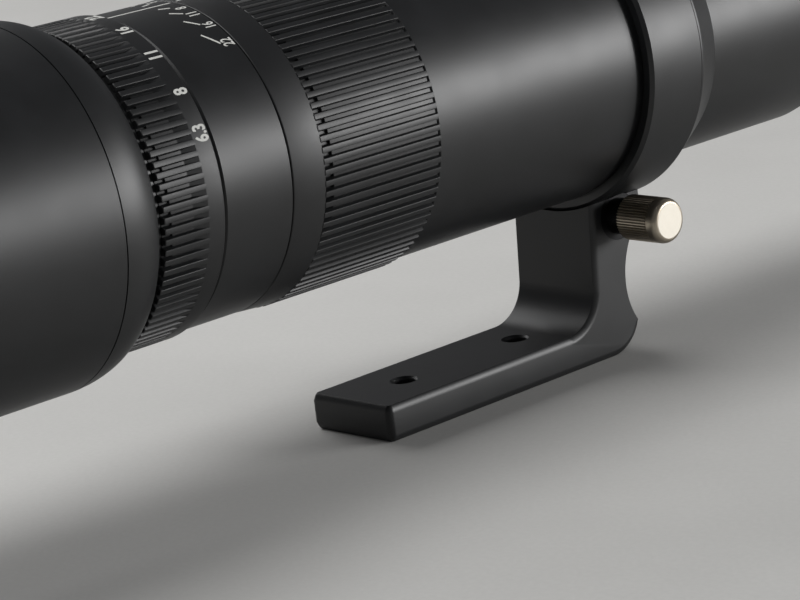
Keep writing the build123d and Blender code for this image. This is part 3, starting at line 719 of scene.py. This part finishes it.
distanceScale = {  # metres, on the focus ring's sleeve, from far at the index to near at the ring's stop
    "marks": {"∞": 0, "100": 16, "50": 31, "30": 48, "20": 68, "15": 88, "12": 108, "10": 128, "9": 148},
    "lift": 0.02, "index": 85, "along": -233.2, "height": 3.4, "narrow": 0.62, "heavy": 0.015,
    "infinityHeight": 2.108, "tick": (-238.2, -236.4), "width": 0.4,
}
s = distanceScale
middle, half = middleAndHalf(s["tick"])
flats = []
for text, spread in s["marks"].items():
    tall = s["infinityHeight"] if text == "∞" else s["height"]
    flats.append((flatNumber(text, tall, s["narrow"], s["heavy"]), s["index"] + spread, s["along"]))
    flats.append((flatBar((0, -half), (0, half), s["width"]), s["index"] + spread, middle))
(small, front), (wide, back) = sleeve
mesh = asMesh(bent(flats, small + s["lift"], (wide - small) / (back - front), front), "distanceNumbers")
newPiece("distanceNumbers", mesh, "focus_ring", enamel)
print("numbers and marks painted")


# Threads in the filter ring and in the foot's holes

thread = threadTree()
filterThread = {
    "front": -351.5,
    "cut": {"Bore Radius": 40.22, "Pitch": 0.75, "Length": 4.6, "Steps": 160, "Tooth": 0.3},
}
tripodThread = {
    "holes": (-174.0, -130.0), "low": -86.2,
    "cut": {"Bore Radius": 3.2, "Pitch": 1.27, "Length": 8.3, "Steps": 40, "Tooth": 0.42},
}


def holes(*places):
    mesh = bpy.data.meshes.new("holes")
    mesh.from_pydata([[c * mm for c in place] for place in places], [], [])
    return mesh


sizes = inMetres({**filterThread["cut"], "Finish": satinBlack})
mesh = grown("filterThread", holes((0, 0, 0)), thread, sizes)
mesh.transform(Matrix.Translation((0, filterThread["front"] * mm, 0)) @ Matrix.Rotation(-pi / 2, 4, "X"))
newPiece("filterThread", mesh, "barrel")
spots = [(0, y, tripodThread["low"]) for y in tripodThread["holes"]]
sizes = inMetres({**tripodThread["cut"], "Finish": satinBlack})
mesh = grown("tripodThreads", holes(*spots), thread, sizes)
newPiece("tripodThreads", mesh, "collar")
print("threads cut")


# Bayonet screws with their cross recesses

mountScrew = {
    "outline": ((0, -8.0), (1.1, -8.0), (1.1, -0.75), (1.85, -0.06), (1.8, 0.0), (0, 0.0)), "segments": 32,
    "recess": {"length": 2.2, "width": 0.5, "depth": 0.55, "narrowing": 0.6},
    # the recesses stand at different angles, as driven screws do
    "circle": {"Screw Count": 4, "Circle": 28.6, "First Angle": radians(45), "Recess Turn": 0.7},
}


def crossCutter(recess):  # two crossed bars, narrower towards their lower ends
    shape = bmesh.new()
    long, wide, deep, narrowing = (recess[k] for k in ("length", "width", "depth", "narrowing"))
    for across, above in ((long, wide), (wide, long)):
        made = bmesh.ops.create_cube(shape, size=1.0)["verts"]
        for v in made:
            shrink = 1.0 if v.co.y > 0 else narrowing
            v.co = (v.co.x * across * shrink * mm, v.co.y * 2 * deep * mm, v.co.z * above * shrink * mm)
    mesh = bpy.data.meshes.new("cutter")
    shape.to_mesh(mesh)
    shape.free()
    return mesh


def recessed(name, mesh, cutter):
    head = bpy.data.objects.new(name, mesh)
    tool = bpy.data.objects.new("cutter", cutter)
    for thing in (head, tool):
        bpy.context.collection.objects.link(thing)
    cut = head.modifiers.new("recess", "BOOLEAN")
    cut.operation, cut.solver, cut.object, cut.use_self = "DIFFERENCE", "EXACT", tool, True
    graph = bpy.context.evaluated_depsgraph_get()
    result = bpy.data.meshes.new_from_object(head.evaluated_get(graph), depsgraph=graph)
    head.modifiers.clear()
    bpy.data.objects.remove(head)
    bpy.data.objects.remove(tool)
    return result


plain = turnedMesh("screw", mountScrew["outline"], mountScrew["segments"])
head = recessed("screw", plain, crossCutter(mountScrew["recess"]))
mesh = grown("mountScrews", head, screwTree(), inMetres({**mountScrew["circle"], "Finish": stainless}))
newPiece("mountScrews", mesh, "barrel", None, ["mount_screws"])
print("screws driven")


# Camera, floor and lamps

photo = {
    "place": (615.1, -724.5, 152.4),  # mm from the mounting flange, as solved from the ring outlines
    "azimuth": 48.06, "elevation": 14.06, "roll": -6.89,
    "focalPixels": 3113.6, "widthPixels": 800, "sensor": 36,
    "nearest": 50,  # mm in front of the camera, where its view starts
}


def photoCamera():
    a, e, r = (radians(photo[k]) for k in ("azimuth", "elevation", "roll"))
    back = Vector((sin(a) * cos(e), -cos(a) * cos(e), sin(e)))
    level = Vector((cos(a), sin(a), 0))
    up = back.cross(level)
    right = cos(r) * level + sin(r) * up
    down = sin(r) * level - cos(r) * up
    data = bpy.data.cameras.new("camera")
    data.sensor_width = photo["sensor"]
    data.lens = photo["focalPixels"] / photo["widthPixels"] * photo["sensor"]
    data.clip_start = photo["nearest"] * mm
    camera = bpy.data.objects.new("camera", data)
    bpy.context.collection.objects.link(camera)
    turn = Matrix((right, -down, back)).transposed().to_4x4()
    camera.matrix_world = Matrix.Translation(Vector(photo["place"]) * mm) @ turn
    bpy.context.scene.camera = camera


stage = {  # places and sizes in metres, here and in the lamps
    "floor": {
        "colours": ("#c9c8c5", "#cfcecb"), "roughness": (0.7, 0.8),
        "cloud": 60, "grit": 1.5, "relief": 0.02,
    },
    "reach": 4.0, "gap": 0.0001,  # the floor lies a hair under the foot, so the two never share a plane
    "world": "#dcdde0", "worldStrength": 0.17, "aim": (0, -0.17, 0),
}
lamps = {  # soft light from above, the long highlight on the clamp's side, and a lift for the far side
    "overhead": {"at": (-0.3, -0.6, 1.4), "size": (1.2, 0.7), "watts": 15},
    "side": {"at": (1.76, 1.63, 0.2), "size": (1.44, 0.9), "watts": 55},
    "fill": {"at": (-1.9, 0.1, 1.1), "size": (1.4, 1.0), "watts": 13},
}


def buildStage():
    low, r = cadBox[0][2] - stage["gap"], stage["reach"]
    mesh = bpy.data.meshes.new("floor")
    mesh.from_pydata([(-r, -r, low), (r, -r, low), (r, r, low), (-r, r, low)], [], [(0, 1, 2, 3)])
    floor = bpy.data.objects.new("floor", mesh)
    bpy.context.collection.objects.link(floor)
    # faintly mottled, as rolled paint is
    mesh.materials.append(grained("matt painted board", stage["floor"]))
    world = bpy.data.worlds.new("studio")
    world.use_nodes = True
    sky = world.node_tree.nodes["Background"]
    sky.inputs["Color"].default_value = toLinear(stage["world"])
    sky.inputs["Strength"].default_value = stage["worldStrength"]
    bpy.context.scene.world = world
    for name, lamp in lamps.items():
        data = bpy.data.lights.new(name, "AREA")
        data.shape = "RECTANGLE"
        data.size, data.size_y = lamp["size"]
        data.energy = lamp["watts"]
        light = bpy.data.objects.new(name, data)
        light.location = lamp["at"]
        light.visible_camera = False
        aim = Vector(stage["aim"]) - light.location
        light.rotation_euler = aim.to_track_quat("-Z", "Y").to_euler()
        bpy.context.collection.objects.link(light)
    bpy.context.scene.view_settings.view_transform = "Standard"


photoCamera()
buildStage()
print("stage set")
